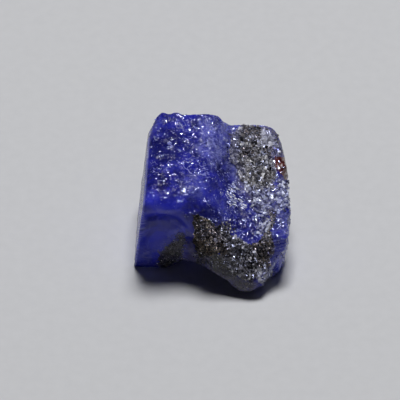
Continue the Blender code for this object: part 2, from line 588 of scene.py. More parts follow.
@dataclass(frozen=True)
class Cloud:
    """Places that show together, with wispy edges that fade over `soft` and stray by `ragged` millimetres."""

    seed: float
    places: tuple[Place, ...]
    soft: float = 0.45
    ragged: float = 0.8
    wave: float = 1.5

    def shown(self, points: np.ndarray) -> np.ndarray:
        """How strongly the places show at each point: the most of any, each eased over its edge.

        Args:
            points: The points, in metres from the heart.

        Returns:
            A share from 0 to 1 for each point.
        """
        moves = shakes(points, self.wave, self.ragged, self.seed)
        depths = [place.within(points + moves * place.shake) for place in self.places]
        shown = [eased(d, -self.soft, self.soft) * place.strength for d, place in zip(depths, self.places)]
        return np.max(shown, axis=0)


ROCK_TOP = Area((2.1, 7.2, 3.0, 7.6, 4.1, 7.5, 5.3, 7.2, 6.3, 6.7, 6.6, 5.2, 6.3, 3.9, 6.1, 2.5, 5.8, 1.2,
                 4.9, 1.0, 4.0, 1.0, 3.4, 1.9, 2.9, 2.5, 2.6, 3.5, 1.9, 4.2, 1.7, 5.2, 2.0, 6.2), wrap=1.6)
ROCK_FRONT = Area((0.5, -2.0, 1.3, -2.2, 2.0, -3.2, 3.1, -3.8, 3.9, -4.0, 3.9, -5.0, 2.9, -5.4, 1.9, -5.4,
                   1.3, -4.4, 0.7, -3.4))
ROCK_FOOT = Area((0.8, -5.0, 2.3, -5.1, 3.7, -4.8, 4.9, -5.2, 5.5, -5.6, 5.1, -6.6, 4.6, -7.6, 3.7, -8.0,
                  2.7, -7.6, 1.7, -6.8, 0.9, -6.0))
BLACK_FRONT = Area((-2.3, -1.2, -1.7, -1.1, -1.0, -1.6, -0.2, -1.8, 0.5, -2.4, 0.7, -3.2, 1.3, -4.2,
                    1.9, -5.2, 1.7, -5.6, 0.8, -5.0, -0.1, -5.0, -1.0, -5.1, -1.7, -4.8, -2.2, -4.0,
                    -1.8, -3.1, -2.1, -2.1))
BLACK_RIGHT = Area((5.6, -0.6, 6.3, -0.7, 6.2, -2.0, 5.8, -2.8, 6.2, -3.5, 6.4, -4.8, 5.6, -5.1, 5.6, -6.2,
                    4.9, -6.4, 4.4, -5.9, 4.8, -5.2, 3.7, -5.0, 3.7, -4.2, 4.5, -3.8, 5.2, -3.0, 5.7, -1.9))
BLACK_TOP = (
    Area((5.0, 5.2, 5.9, 5.6, 6.4, 5.2, 6.3, 4.2, 5.7, 4.4, 5.1, 4.8)),
    Area((5.6, 4.0, 6.1, 3.9, 6.1, 3.1, 5.8, 2.9, 5.5, 3.2)),
    Area((2.7, 5.6, 3.9, 5.7, 4.6, 5.2, 3.7, 4.5, 3.0, 4.7)),
    Area((2.7, 7.2, 3.7, 7.4, 4.8, 7.1, 4.6, 6.2, 3.9, 6.5, 3.1, 6.7)),
)
QUARTZ_TOP = Area((4.7, 7.2, 5.6, 7.2, 6.3, 6.5, 6.3, 5.6, 5.5, 5.4, 4.8, 5.7))
WHITE_RIGHT = Area((4.0, 1.4, 4.9, 1.0, 5.7, 1.5, 6.4, 2.0, 7.1, 1.9, 7.4, 0.9, 7.4, -0.4, 6.8, -0.9,
                    5.5, -0.8, 4.5, -0.9, 4.0, -0.1, 3.7, 0.7))
WHITE_CHUNK = Area((3.2, 1.9, 3.7, 2.0, 3.9, 1.4, 3.4, 0.9, 3.1, 1.2), shake=0.3)
WHITE_SPOT = Area((5.2, -1.6, 5.7, -2.0, 5.6, -2.8, 4.9, -2.9, 4.7, -2.2))
LOW_CHUNK = Area((4.5, -6.4, 5.2, -6.1, 6.0, -6.8, 5.7, -7.6, 4.9, -8.2, 4.4, -7.6))
SOOTY_SCOOP = Area((-5.7, -6.6, -5.4, -5.0, -4.8, -4.2, -4.2, -3.7, -3.5, -3.1, -2.9, -3.2, -3.0, -4.2,
                    -2.9, -5.4, -2.5, -6.6, -4.3, -7.0))
DARK_FLANK = Area((-1.8, -4.8, -0.5, -5.0, 0.9, -5.2, 1.5, -6.2, 2.5, -7.4, 1.5, -7.6, 0.1, -6.8, -1.0, -6.2,
                   -1.7, -6.0))
FOOT_RIM = Area((-1.5, -5.6, -0.5, -5.9, 0.7, -6.7, 1.7, -7.2, 2.9, -7.9, 4.2, -7.9, 4.5, -8.6, 3.7, -9.1,
                 2.7, -9.1, 1.3, -8.2, -0.1, -7.1, -1.3, -6.4))
SILVER = (
    Area((1.3, 1.0, 2.3, 0.6, 3.3, -0.2, 2.7, -0.5, 1.6, -0.2, 0.9, 0.6)),
    Area((1.5, 1.2, 2.1, 1.7, 2.3, 1.4, 1.8, 1.0)),
)
GOLDEN_FRONT = Area((-1.3, -1.8, -0.2, -1.9, 0.7, -3.0, 1.0, -4.4, -0.3, -4.7, -1.2, -3.8, -1.2, -2.8))
GARNET_SPOT = Area((6.1, 4.6, 7.2, 4.5, 8.1, 3.6, 8.1, 2.5, 7.2, 2.3, 6.3, 3.3), wrap=1.2, shake=0.4)
VIOLET_RIM = Area((4.8, 7.9, 7.8, 7.9, 8.2, 5.4, 7.8, 3.6, 6.2, 3.9, 6.2, 5.2, 6.2, 6.2, 5.0, 7.0), wrap=2.2)
LOW_RIGHT = Area((5.6, -5.1, 7.5, -4.5, 7.3, -6.0, 6.5, -7.5, 5.7, -7.2, 5.5, -6.0), 0.35)
ROCK_BEHIND = (
    Blob((1.5, 7.0, -1.4), (3.4, 1.5, 2.2), shake=3.0),
    Blob((3.4, 6.2, 1.2), (1.4, 1.5, 1.6), shake=3.0),
    Blob((7.4, 3.0, -2.6), (1.3, 2.2, 1.9), shake=2.5),
    Blob((0.5, 1.5, -6.0), (4.2, 3.6, 1.6), shake=2.0),
)
BLACK_BEHIND = Blob((-2.6, 6.9, -3.0), (2.4, 1.4, 1.2), shake=2.5)
WHITE_BEHIND = Blob((4.6, 5.6, -3.8), (1.6, 1.5, 1.5), shake=2.0)

PATCHES = {
    Mineral.ROCK: (ROCK_TOP, ROCK_FRONT, ROCK_FOOT, *ROCK_BEHIND),
    Mineral.GRAPHITE: (BLACK_FRONT, BLACK_RIGHT, *BLACK_TOP, BLACK_BEHIND),
    Mineral.CALCITE: (QUARTZ_TOP, WHITE_CHUNK, WHITE_SPOT, LOW_CHUNK, WHITE_BEHIND),
    Mineral.GARNET: (GARNET_SPOT,),
}
CALM = Cloud(44, (
    Area((-6.9, -0.8, -2.7, -0.8, -2.1, -2.0, -1.6, -5.6, -2.0, -6.8, -7.6, -6.8, -7.3, -3.8)),
    Area((-6.3, 0.7, -2.3, 1.1, -2.5, -1.0, -6.3, -1.0), 0.6),
    Area((-1.5, 2.5, 0.1, 2.3, 0.1, 0.3, -1.3, -0.4, -2.1, 0.3), 0.6),
    Area((-6.6, 8.2, -5.9, 8.8, -5.4, 7.6, -6.2, 6.2), 0.6),
    VIOLET_RIM,
    FOOT_RIM,
    DARK_FLANK,
    replace(LOW_RIGHT, strength=0.6),
))
CLOUDS = {
    "veil": Cloud(70, (
        Area((-1.5, 8.5, 0.2, 8.6, 1.5, 7.6, 1.6, 6.2, 1.3, 5.1, 0.8, 4.2, 0.0, 3.7, -0.8, 3.9, -1.4, 5.1,
              -1.7, 6.9)),
        Area((-2.9, 2.7, -1.3, 2.7, -0.5, 1.9, -0.9, 0.7, -2.3, 0.5, -3.3, 1.2), 0.5),
        # Lavender wisps on the bottom-left corner, and painted light that makes the corner paler.
        Area((-7.2, -4.4, -5.8, -4.4, -5.7, -6.0, -6.3, -6.6, -7.4, -6.5), 0.45),
        LOW_RIGHT,
        Area((-6.2, 9.0, -3.0, 9.2, -3.0, 8.2, -5.6, 7.6), 0.2),
        Area((-0.8, 0.4, 1.4, 0.4, 2.4, -1.0, 1.4, -2.0, -0.4, -1.2), 0.3),
        Area((6.0, -0.8, 7.8, -0.6, 7.8, -5.4, 6.2, -5.0, 6.4, -3.0), 0.4),
        Area((0.5, 8.2, 2.2, 8.2, 2.8, 6.8, 2.4, 5.6, 2.4, 4.2, 3.0, 3.2, 2.2, 2.4, 1.2, 3.4, 0.6, 4.8,
              0.6, 6.4), 0.95),
        VIOLET_RIM,
        replace(WHITE_RIGHT, strength=0.55),
        Area((2.4, 3.0, 4.0, 1.5, 5.4, 1.5, 6.4, 2.6, 6.8, 1.2, 4.0, 0.2, 2.8, 1.0), 0.55),
        Area((-5.6, -4.8, -4.9, -3.8, -4.3, -3.1, -3.5, -2.6, -3.2, -3.0, -4.0, -3.6, -4.6, -4.3, -5.2, -5.0),
             0.5, shake=0.4),
    )),
    # Painted glow: a brighter blue that stands in for light coming through the crystal, over the shaded
    # undercut and under the crest's front edge.
    "painted_glow": Cloud(74, (
        Area((-7.6, -0.8, -2.7, -0.8, -1.9, -2.0, -1.9, -3.4, -3.4, -3.2, -4.6, -3.8, -5.6, -5.2, -5.8, -6.8,
              -7.8, -6.8), 0.75),
        Area((-6.3, 0.9, -4.3, 1.2, -2.3, 1.0, -2.5, -0.4, -3.7, -1.1, -5.5, -1.1, -6.4, -0.5)),
        Area((-2.9, 2.4, -1.0, 2.4, -0.6, 0.8, -2.3, 0.4), 0.6),
        Area((0.0, 0.0, 1.6, -0.2, 2.6, -1.4, 1.2, -1.8), 0.6),
        Area((5.8, -5.4, 7.2, -5.2, 6.4, -7.0, 5.8, -6.8), 0.4),
    )),
    # Darker blue: partly the crystal's deep colour, partly painted shade in hollows and under the brow.
    "deep_blue_and_shade": Cloud(78, (
        Area((-6.3, 6.4, -4.7, 6.6, -3.1, 6.0, -3.1, 4.7, -4.7, 4.0, -6.3, 4.5), 0.7),
        Area((0.2, 4.0, 1.1, 4.0, 1.3, 3.1, 0.6, 2.6, 0.1, 3.1)),
        Area((-6.7, -1.2, -2.4, -1.1, -2.2, -2.2, -3.4, -2.6, -5.3, -2.5, -6.7, -2.4), 0.35),
        Area((1.6, -0.6, 2.6, -0.8, 3.4, -1.6, 2.6, -2.6, 1.6, -1.8), 0.6),
        Area((3.2, -2.4, 4.2, -2.0, 4.6, -3.2, 3.6, -3.6, 2.8, -3.2), 0.6),
        Area((-0.4, -0.6, 0.6, -0.4, 1.0, -1.2, 0.2, -1.7, -0.8, -1.4), 0.6),
        Area((6.2, 1.0, 7.6, 0.6, 7.7, -1.2, 6.8, -0.6, 6.2, 0.2), 0.4),
        Area((-2.9, -2.6, -2.1, -2.8, -1.9, -4.6, -1.4, -6.4, -2.6, -6.6, -2.9, -4.4), 0.6),
        Area((-4.6, 7.0, -3.4, 7.2, -1.8, 7.0, -2.0, 6.4, -4.4, 6.4), 0.6),
        Area((1.2, 2.6, 2.6, 2.2, 3.6, 0.6, 3.0, 0.4, 1.4, 1.4), 0.7),
    )),
    "smoke": Cloud(82, (
        VIOLET_RIM,
        FOOT_RIM,
        Area((1.3, 6.8, 2.5, 7.2, 2.6, 6.0, 2.4, 4.9, 1.6, 5.4), 0.7),
        Area((2.4, 3.4, 3.2, 2.4, 4.0, 0.6, 6.2, 0.8, 6.6, 2.6, 6.0, 0.0, 3.4, 0.2, 2.6, 2.0), 0.6),
        Area((-3.1, -3.8, -2.1, -3.8, -1.7, -5.0, -1.2, -6.2, -2.5, -6.5, -3.1, -5.4), 0.6),
        Area((-6.6, 8.2, -5.9, 8.6, -5.6, 7.2, -6.4, 6.6), 0.5),
    )),
    # Dark charcoal matrix, and painted shade on the rim along the bottom.
    "charcoal_and_shade": Cloud(94, (
        SOOTY_SCOOP,
        DARK_FLANK,
        # Painted shade on the bottom rim.
        replace(FOOT_RIM, strength=0.6),
        Area((0.6, -1.6, 1.6, -2.0, 2.0, -2.8, 1.2, -3.2, 0.4, -2.4), 0.7),
        Area((3.6, 0.9, 4.2, 0.9, 4.2, -0.3, 3.5, -0.2), 0.6),
    )),
    # Where the whitish flecks gather: partly crush marks, partly painted glints.
    "frost": Cloud(86, (
        Area((-1.2, 4.2, -0.3, 4.2, 0.5, 3.5, 0.3, 2.5, -0.6, 2.2, -1.2, 3.1)),
        Area((1.2, 1.0, 2.3, 0.8, 3.3, -0.2, 2.7, -0.6, 1.4, 0.0), 0.8),
        replace(WHITE_RIGHT, strength=0.7),
        Area((-1.5, 8.5, 0.2, 8.6, 1.5, 7.6, 1.6, 6.2, 1.3, 5.1, 0.8, 4.2, -0.8, 3.9, -1.4, 5.1), 0.6),
        Area((1.0, 0.0, 5.2, -0.8, 5.2, -3.4, 3.4, -4.0, 2.0, -3.0, 0.6, -1.6), 0.45),
        Area((-0.6, 0.6, 1.2, 0.8, 2.2, -0.4, 1.6, -2.0, 0.6, -1.6, -0.4, -1.2), 0.55),
        Area((5.9, -1.0, 7.6, -0.6, 7.8, -3.4, 6.6, -5.4, 6.2, -3.0), 0.75),
        Area((-5.2, 7.4, -1.8, 8.0, -1.8, 6.6, -3.2, 5.0, -4.6, 6.2), 0.7),
        Area((-6.6, 4.4, -2.0, 4.4, -2.4, 2.6, -6.4, 2.8), 0.6),
    )),
    # Painted highlight: a thin lavender line along the lower edge of the brow.
    "line": Cloud(90, (
        Area((-5.6, -0.6, -4.5, -0.8, -3.3, -0.6, -3.2, -0.8, -4.5, -1.05, -5.6, -0.9)),
    ), 0.15, 0.15),
}


def minerals_at(points: np.ndarray) -> np.ndarray:
    """The mineral at each point: the last patch that it lies within, with ragged edges, or else the blue.

    Args:
        points: The points, in metres from the heart.

    Returns:
        The mineral's number for each point.
    """
    moves = shakes(points, *PATCH_SHAKE)
    found = np.full(len(points), int(Mineral.TANZANITE))
    for mineral, places in PATCHES.items():
        for place in places:
            found[place.within(points + moves * place.shake) > 0] = int(mineral)
    return found


# Shader building


@dataclass(frozen=True)
class Shading:
    """A shader tree, with short ways to add to it. A value is a number, a colour or another node's output."""

    tree: bpy.types.NodeTree

    def feed(self, node: bpy.types.Node, **values: Value) -> None:
        """Sets or joins a node's inputs.

        Args:
            node: The node.
            values: Its inputs, named with underscores for spaces, or with i and the input's number.
        """
        for name, value in values.items():
            key = int(name[1:]) if name[0] == "i" and name[1:].isdigit() else name.replace("_", " ")
            if isinstance(value, Socket):
                self.tree.links.new(value, node.inputs[key])
            else:
                node.inputs[key].default_value = value

    def add(self, kind: str, **values: Value) -> bpy.types.Node:
        """A node with its settings, and with its inputs set or joined.

        Args:
            kind: Blender's name for the node, without ShaderNode.
            values: Settings in small letters, and inputs as `feed` takes them.

        Returns:
            The node.
        """
        node = self.tree.nodes.new("ShaderNode" + kind)
        for name, value in values.items():
            if name.islower() and hasattr(node, name):
                setattr(node, name, value)
            else:
                self.feed(node, **{name: value})
        return node

    def told(self, name: str) -> Socket:
        """The number that the mesh keeps under that name."""
        return self.add("Attribute", attribute_name=name).outputs["Fac"]

    def maths(self, operation: str, first: Value, *others: Value) -> Socket:
        """The output of a sum on two or more values, worked from left to right.

        Args:
            operation: Blender's name for the sum.
            first: The value that it starts from.
            others: The values that follow.

        Returns:
            The last sum's output.
        """
        for other in others:
            first = self.add("Math", operation=operation, i0=first, i1=other).outputs[0]
        return first

    def between(self, value: Socket, start: float, end: float, low: float = 0.0, high: float = 1.0) -> Socket:
        """A value that runs from low to high as another runs from start to end, and is level beyond them."""
        return self.add("MapRange", Value=value, i1=start, i2=end, i3=low, i4=high).outputs["Result"]

    def ramp(self, factor: Socket, stops: Stops) -> Socket:
        """A colour ramp's output, for stops given as (place, colour) pairs.

        Args:
            factor: What the ramp reads, from 0 to 1.
            stops: The ramp's colours and their places.

        Returns:
            The colour.
        """
        node = self.add("ValToRGB", Fac=factor)
        elements = node.color_ramp.elements
        while len(elements) < len(stops):
            elements.new(0.5)
        for element, (place, colour) in zip(elements, stops):
            element.position = place
            element.color = (*colour, 1.0)
        return node.outputs["Color"]

    def mixed(self, factor: Value, first: Value, second: Value, blend: str = "MIX") -> Socket:
        """The output of a colour mix of two colours."""
        node = self.add("Mix", data_type="RGBA", blend_type=blend, i0=factor, i6=first, i7=second)
        return node.outputs[2]

    def bumped(self, *layers: tuple[Value, float, Socket]) -> Socket:
        """The normal after some bumps, each on top of the one before.

        Args:
            layers: The strength, the depth in millimetres and the height of each bump.

        Returns:
            The normal on top of them all.
        """
        below = {}
        for strength, depth, height in layers:
            bump = self.add("Bump", Strength=strength, Distance=depth * MM, Height=height, **below)
            below = {"Normal": bump.outputs["Normal"]}
        return below["Normal"]

    def squeezed(self, place: Socket, rise: float) -> Socket:
        """Coordinates on which a pattern is drawn out upwards: heights count only as that share."""
        return self.add("Mapping", Vector=place, Scale=(1.0, 1.0, rise)).outputs[0]

    def crossed_strokes(self, place: Socket, stretch: float, strokes: Pairs) -> Socket:
        """The strongest of some noises whose grain is drawn out along level directions.

        Args:
            place: The coordinates that the noises read.
            stretch: How many times longer the grain is than wide.
            strokes: Each noise's direction, in radians about +Z from +Y, and its scale across the grain.

        Returns:
            The strongest noise.
        """
        found = []
        for turn, scale in strokes:
            turned = self.add("Mapping", vector_type="TEXTURE", Vector=place, Rotation=(0.0, 0.0, turn),
                              Scale=(1.0, stretch, 1.0))
            found.append(Noise(scale, 1.5, distortion=1.2).on(self, turned.outputs[0]))
        return self.maths("MAXIMUM", *found)


@dataclass(frozen=True)
class Noise:
    """The settings of a noise texture, with its scale as grains in a metre."""

    scale: float
    detail: float = 2.0
    roughness: float = 0.5
    distortion: float = 0.0

    def on(self, shading: Shading, place: Socket) -> Socket:
        """The noise, from 0 to 1, at those coordinates."""
        noise = shading.add("TexNoise", Vector=place, Scale=self.scale, Detail=self.detail,
                            Roughness=self.roughness, Distortion=self.distortion)
        return noise.outputs["Fac"]


def new_group(name: str, inputs: dict[str, tuple[str, object]], outputs: dict[str, str]) -> tuple:
    """An empty shader group with named sockets.

    Args:
        name: The group's name.
        inputs: The type and default value of each input.
        outputs: The type of each output.

    Returns:
        The group's shading, its input node's sockets by name and its output node.
    """
    group = bpy.data.node_groups.new(name, "ShaderNodeTree")
    for label, (kind, value) in inputs.items():
        socket = group.interface.new_socket(label, in_out="INPUT", socket_type="NodeSocket" + kind)
        if value is not None:
            socket.default_value = value
    for label, kind in outputs.items():
        group.interface.new_socket(label, in_out="OUTPUT", socket_type="NodeSocket" + kind)
    return Shading(group), group.nodes.new("NodeGroupInput").outputs, group.nodes.new("NodeGroupOutput")


def chipped_facets() -> bpy.types.NodeTree:
    """Small flat breaks: each Voronoi cell is a plane with a tilt and a tone of its own.

    Returns:
        The group. Its height is in cell widths, so a Bump takes the cell's width as its distance.
    """
    inputs = {"Vector": ("Vector", None), "Cells": ("Float", 4000.0)}
    shading, entry, out = new_group("Chipped facets", inputs, {"Height": "Float", "Tone": "Color"})
    place, cells = entry["Vector"], entry["Cells"]
    cell = shading.add("TexVoronoi", feature="F1", Vector=place, Scale=cells)
    away = shading.add("VectorMath", operation="SUBTRACT", i0=place, i1=cell.outputs["Position"])
    spread = shading.add("VectorMath", operation="SCALE", i0=away.outputs[0], Scale=cells)
    tilt = shading.add("VectorMath", operation="SUBTRACT", i0=cell.outputs["Color"], i1=(0.5, 0.5, 0.5))
    plane = shading.add("VectorMath", operation="DOT_PRODUCT", i0=spread.outputs[0], i1=tilt.outputs[0])
    shading.feed(out, Height=plane.outputs["Value"], Tone=cell.outputs["Color"])
    return shading.tree


def crush_and_glint_flecks() -> bpy.types.NodeTree:
    """Short whitish marks, partly crush marks and partly painted glints: stretched, twisted noise cut off
    high up, in loose clusters.

    Returns:
        The group. Its mask is 1 on a fleck. Frost, from 0 to 1, makes them more.
    """
    inputs = {"Vector": ("Vector", None), "Frost": ("Float", 0.0)}
    shading, entry, out = new_group("Crushed flecks", inputs, {"Mask": "Float"})
    crowd = Noise(850.0).on(shading, entry["Vector"])
    stroke = shading.crossed_strokes(entry["Vector"], 3.2, ((-1.26, 4000.0), (-2.43, 3200.0)))
    crowded = shading.maths("MULTIPLY", crowd, 0.45)
    frosty = shading.maths("MULTIPLY", entry["Frost"], 0.11)
    total = shading.maths("ADD", stroke, crowded, frosty)
    shading.feed(out, Mask=shading.between(total, 0.93, 0.98))
    return shading.tree


@dataclass(frozen=True)
class Finish:
    """A named material with one Principled shader, whose inputs each kind of finish works out."""

    name: str

    def inputs(self, shading: Shading, place: Socket) -> dict[str, Value]:
        """The shader's inputs, named with underscores for spaces, for a pattern on those coordinates.

        Args:
            shading: The material's shading.
            place: The coordinates of the patterns.

        Returns:
            The inputs, with underscores for spaces.
        """
        raise NotImplementedError

    def material(self) -> bpy.types.Material:
        """The finished material.

        Returns:
            The material, with its one Principled shader.
        """
        material = bpy.data.materials.new(self.name)
        material.use_nodes = True
        shading = Shading(material.node_tree)
        place = shading.add("TexCoord").outputs["Object"]
        shading.feed(shading.tree.nodes["Principled BSDF"], **self.inputs(shading, place))
        return material


@dataclass(frozen=True)
class TanzaniteFinish(Finish):
    """Blue-violet glass with veils, bright and dark places that include painted glow and shade, smoky rims,
    whitish flecks partly painted as glints, painted edge highlights and small chipped facets.

    The depths are in millimetres, and the chips are pairs of cells in a metre and depth.
    """

    facets: bpy.types.NodeTree
    flecks: bpy.types.NodeTree
    deep: Colour = (0.027, 0.030, 0.42, 1)
    shadowy: Colour = (0.007, 0.008, 0.12, 1)
    # Painted glow colour, also the lighter blue of the random depth patches.
    bright: Colour = (0.046, 0.056, 0.70, 1)
    # The darker blue of the random depth patches, and of the darker places that are partly painted shade.
    dark: Colour = (0.006, 0.007, 0.125, 1)
    veil: Colour = (0.32, 0.345, 0.88, 1)
    smoke: Colour = (0.19, 0.175, 0.215, 1)
    # Whitish flecks, partly painted glints, and the painted highlight on the cleavage's edge.
    fleck: Colour = (0.40, 0.43, 0.95, 1)
    # Painted highlight along the lower edge of the brow.
    edge: Colour = (0.17, 0.18, 0.75, 1)
    # Dark charcoal greys, also laid on the bottom rim as painted shade.
    charcoal_and_shade: Stops = ((0.40, (0.016, 0.015, 0.017)), (0.52, (0.05, 0.048, 0.056)), (0.64, (0.20, 0.19, 0.23)))
    wisp: Noise = Noise(1300.0, 5.0, 0.65, 1.2)
    mottle: Noise = Noise(1100.0, 3.0, 0.6)
    depth: Noise = Noise(380.0, 4.0, 0.55, 0.8)
    thread: Noise = Noise(1300.0, 3.0, distortion=0.6)
    thread_rise: float = 0.22
    fibres: Pairs = ((-2.35, 2300.0), (-1.2, 2300.0))
    fibre_stretch: float = 4.0
    grime: Noise = Noise(3800.0, 4.0, 0.7)
    streak: Noise = Noise(2600.0, 3.0, 0.6)
    streak_rise: float = 0.07
    streak_depth: float = 0.09
    ripple: Noise = Noise(900.0, 3.0)
    ripple_depth: float = 0.25
    chips: Pairs = ((1500.0, 0.27), (3400.0, 0.11))
    worn_smooth: float = 0.05

    def cloudiness(self, shading: Shading, place: Socket, wisp: Socket) -> Socket:
        """How milky the veils are: wisps, crossed fibres and a little everywhere.

        Args:
            shading: The material's shading.
            place: The coordinates of the patterns.
            wisp: The noise of the wisps.

        Returns:
            The share of the veil's colour.
        """
        wisps = shading.ramp(wisp, ((0.38, BLACK), (0.66, WHITE)))
        fibre = shading.crossed_strokes(place, self.fibre_stretch, self.fibres)
        fibres = shading.between(fibre, 0.52, 0.72)
        return shading.maths(
            "ADD", shading.maths("MULTIPLY", wisps, 0.4), shading.maths("MULTIPLY", fibres, 0.5), 0.1
        )

    def colour(self, shading: Shading, place: Socket, told: dict[str, Socket], wisp: Socket) -> Socket:
        """The base colour: the deep blue with layers over it, each by its own share.

        Args:
            shading: The material's shading.
            place: The coordinates of the patterns.
            told: What the mesh keeps, by name.
            wisp: The noise of the wisps.

        Returns:
            The colour.
        """
        times, depth = "MULTIPLY", self.depth.on(shading, place)
        mottled = shading.ramp(self.mottle.on(shading, place), ((0.4, BLACK), (0.6, WHITE)))
        veiled = shading.maths("ADD", told["veil"], 0.05)
        milky = shading.maths(times, self.cloudiness(shading, place, wisp), veiled)
        thread = self.thread.on(shading, shading.squeezed(place, self.thread_rise))
        marks = shading.add("Group", node_tree=self.flecks, Vector=place, Frost=told["frost"]).outputs["Mask"]
        grime = self.grime.on(shading, place)
        sooted, grimy = shading.maths(times, told["charcoal_and_shade"], 0.9), shading.maths(times, grime, 2.0)
        reach = shading.maths("ADD", sooted, grimy)
        layers = (
            (shading.maths(times, mottled, told["hackle"]), self.shadowy),
            # painted glow of light through the crystal
            (told["painted_glow"], self.bright),
            (shading.between(depth, 0.5, 0.72, high=0.5), self.bright),
            (shading.between(depth, 0.5, 0.3, high=0.75), self.dark),
            # darker places, partly painted shade
            (told["deep_blue_and_shade"], self.dark),
            (milky, self.veil),
            (shading.maths(times, shading.between(thread, 0.55, 0.75, high=0.3), told["smooth"]), self.veil),
            (shading.maths(times, told["smoke"], 0.8), self.smoke),
            # painted highlight along the brow's lower edge
            (shading.maths(times, told["line"], 0.8), self.edge),
            # whitish flecks that are partly painted glints, and the painted highlight on the cleavage's edge
            (shading.maths("MAXIMUM", shading.maths(times, marks, told["hackle"]), told["edge_highlight_and_lips"]), self.fleck),
            # charcoal, and painted shade on the bottom rim
            (shading.between(reach, 1.3, 1.65), shading.ramp(grime, self.charcoal_and_shade)),
        )
        colour = self.deep
        for share, layer in layers:
            colour = shading.mixed(share, colour, layer)
        return colour

    def normal(self, shading: Shading, place: Socket, told: dict[str, Socket]) -> Socket:
        """The normal: upright streaks on the cleavage, ripples and two sizes of chips where it is hackly.

        Args:
            shading: The material's shading.
            place: The coordinates of the patterns.
            told: What the mesh keeps, by name.

        Returns:
            The normal.
        """
        rough = told["hackle"]
        streak = self.streak.on(shading, shading.squeezed(place, self.streak_rise))
        layers = [(told["cleaved"], self.streak_depth, streak)]
        layers.append((rough, self.ripple_depth, self.ripple.on(shading, place)))
        for cells, depth in self.chips:
            chip = shading.add("Group", node_tree=self.facets, Vector=place, Cells=cells)
            layers.append((rough, depth, chip.outputs["Height"]))
        return shading.bumped(*layers)

    def inputs(self, shading: Shading, place: Socket) -> dict[str, Value]:
        """The shader's inputs.

        Args:
            shading: The material's shading.
            place: The coordinates of the patterns.

        Returns:
            The inputs, with underscores for spaces.
        """
        told = {name: shading.told(name) for name in (*CLOUDS, "hackle", "cleaved", "edge_highlight_and_lips")}
        told["smooth"] = shading.maths("SUBTRACT", 1.0, told["hackle"])
        wisp = self.wisp.on(shading, place)
        dull = shading.maths("MULTIPLY", told["smooth"], self.worn_smooth)
        return {
            "Base_Color": self.colour(shading, place, told, wisp),
            "Normal": self.normal(shading, place, told),
            "Roughness": shading.maths("ADD", shading.between(wisp, 0.3, 0.75, 0.04, 0.12), dull),
            "IOR": 1.69,
            "Specular_IOR_Level": 0.08,
            "Transmission_Weight": 0.3,
            "Subsurface_Weight": 0.7,
            "Subsurface_Radius": (0.12, 0.13, 1.0),
            "Subsurface_Scale": 2.0 * MM,
        }


@dataclass(frozen=True)
class SpeckledFinish(Finish):
    """Granular stone: two sizes of Voronoi grains in a few tones, with some metal-like flakes among them."""

    facets: bpy.types.NodeTree
    tones: Stops
    flake_share: float = 0.2
    grain: float = 0.22
    roughness: tuple[float, float] = (0.25, 0.6)
    finer: float = 2.3
    large_share: float = 0.6
    bump: float = 0.6

    def inputs(self, shading: Shading, place: Socket) -> dict[str, Value]:
        """The shader's inputs.

        Args:
            shading: The material's shading.
            place: The coordinates of the patterns.

        Returns:
            The inputs, with underscores for spaces.
        """
        cells = 1 / (self.grain * MM)
        large, small = (
            shading.add("Group", node_tree=self.facets, Vector=place, Cells=cells * finer)
            for finer in (1, self.finer)
        )
        draws, small_draws = (
            shading.add("SeparateColor", Color=node.outputs["Tone"]).outputs for node in (large, small)
        )
        choice = shading.maths("ADD", shading.maths("MULTIPLY", draws[0], self.large_share),
                               shading.maths("MULTIPLY", small_draws[0], 1 - self.large_share))
        haze = shading.maths("MULTIPLY", shading.told("veil"), HAZE_SHARE)
        low, high = self.roughness
        return {
            "Base_Color": shading.mixed(haze, shading.ramp(choice, self.tones), (*HAZE, 1)),
            "Metallic": shading.maths("LESS_THAN", small_draws[1], self.flake_share),
            "Roughness": shading.maths("ADD", shading.maths("MULTIPLY", small_draws[2], high - low), low),
            "Normal": shading.bumped(
                (self.bump, self.grain, large.outputs["Height"]),
                (self.bump, self.grain / self.finer, small.outputs["Height"]),
            ),
        }


@dataclass(frozen=True)
class GrainFinish(Finish):
    """Grains that take their tone from what their mesh keeps, with fine scratches."""

    metallic: float
    roughness: tuple[float, float]
    scratches: Noise = Noise(7000.0)

    def inputs(self, shading: Shading, place: Socket) -> dict[str, Value]:
        """The shader's inputs.

        Args:
            shading: The material's shading.
            place: The coordinates of the patterns.

        Returns:
            The inputs, with underscores for spaces.
        """
        tone = shading.add("Attribute", attribute_name="tone").outputs["Color"]
        cloud = self.scratches.on(shading, place)
        shade, rough = (
            shading.ramp(cloud, ((0.3, (low,) * 3), (0.7, (high,) * 3)))
            for low, high in ((0.72, 1.0), self.roughness)
        )
        return {
            "Base_Color": shading.mixed(1.0, tone, shade, "MULTIPLY"),
            "Roughness": rough,
            "Normal": shading.bumped((0.3, 0.03, cloud)),
            "Metallic": self.metallic,
            "IOR": 1.55,
        }


@dataclass(frozen=True)
class GarnetFinish(Finish):
    """Red-brown garnet glass, cloudy and a little worn."""

    facets: bpy.types.NodeTree
    tones: Stops = ((0.35, (0.05, 0.008, 0.008)), (0.7, (0.22, 0.05, 0.04)))

    def inputs(self, shading: Shading, place: Socket) -> dict[str, Value]:
        """The shader's inputs.

        Args:
            shading: The material's shading.
            place: The coordinates of the patterns.

        Returns:
            The inputs, with underscores for spaces.
        """
        chips = shading.add("Group", node_tree=self.facets, Vector=place, Cells=3000.0)
        return {
            "Base_Color": shading.ramp(Noise(2600.0, 3.0).on(shading, place), self.tones),
            "Normal": shading.bumped((0.5, 0.3, chips.outputs["Height"])),
            "Roughness": 0.12,
            "IOR": 1.78,
            "Transmission_Weight": 0.3,
        }


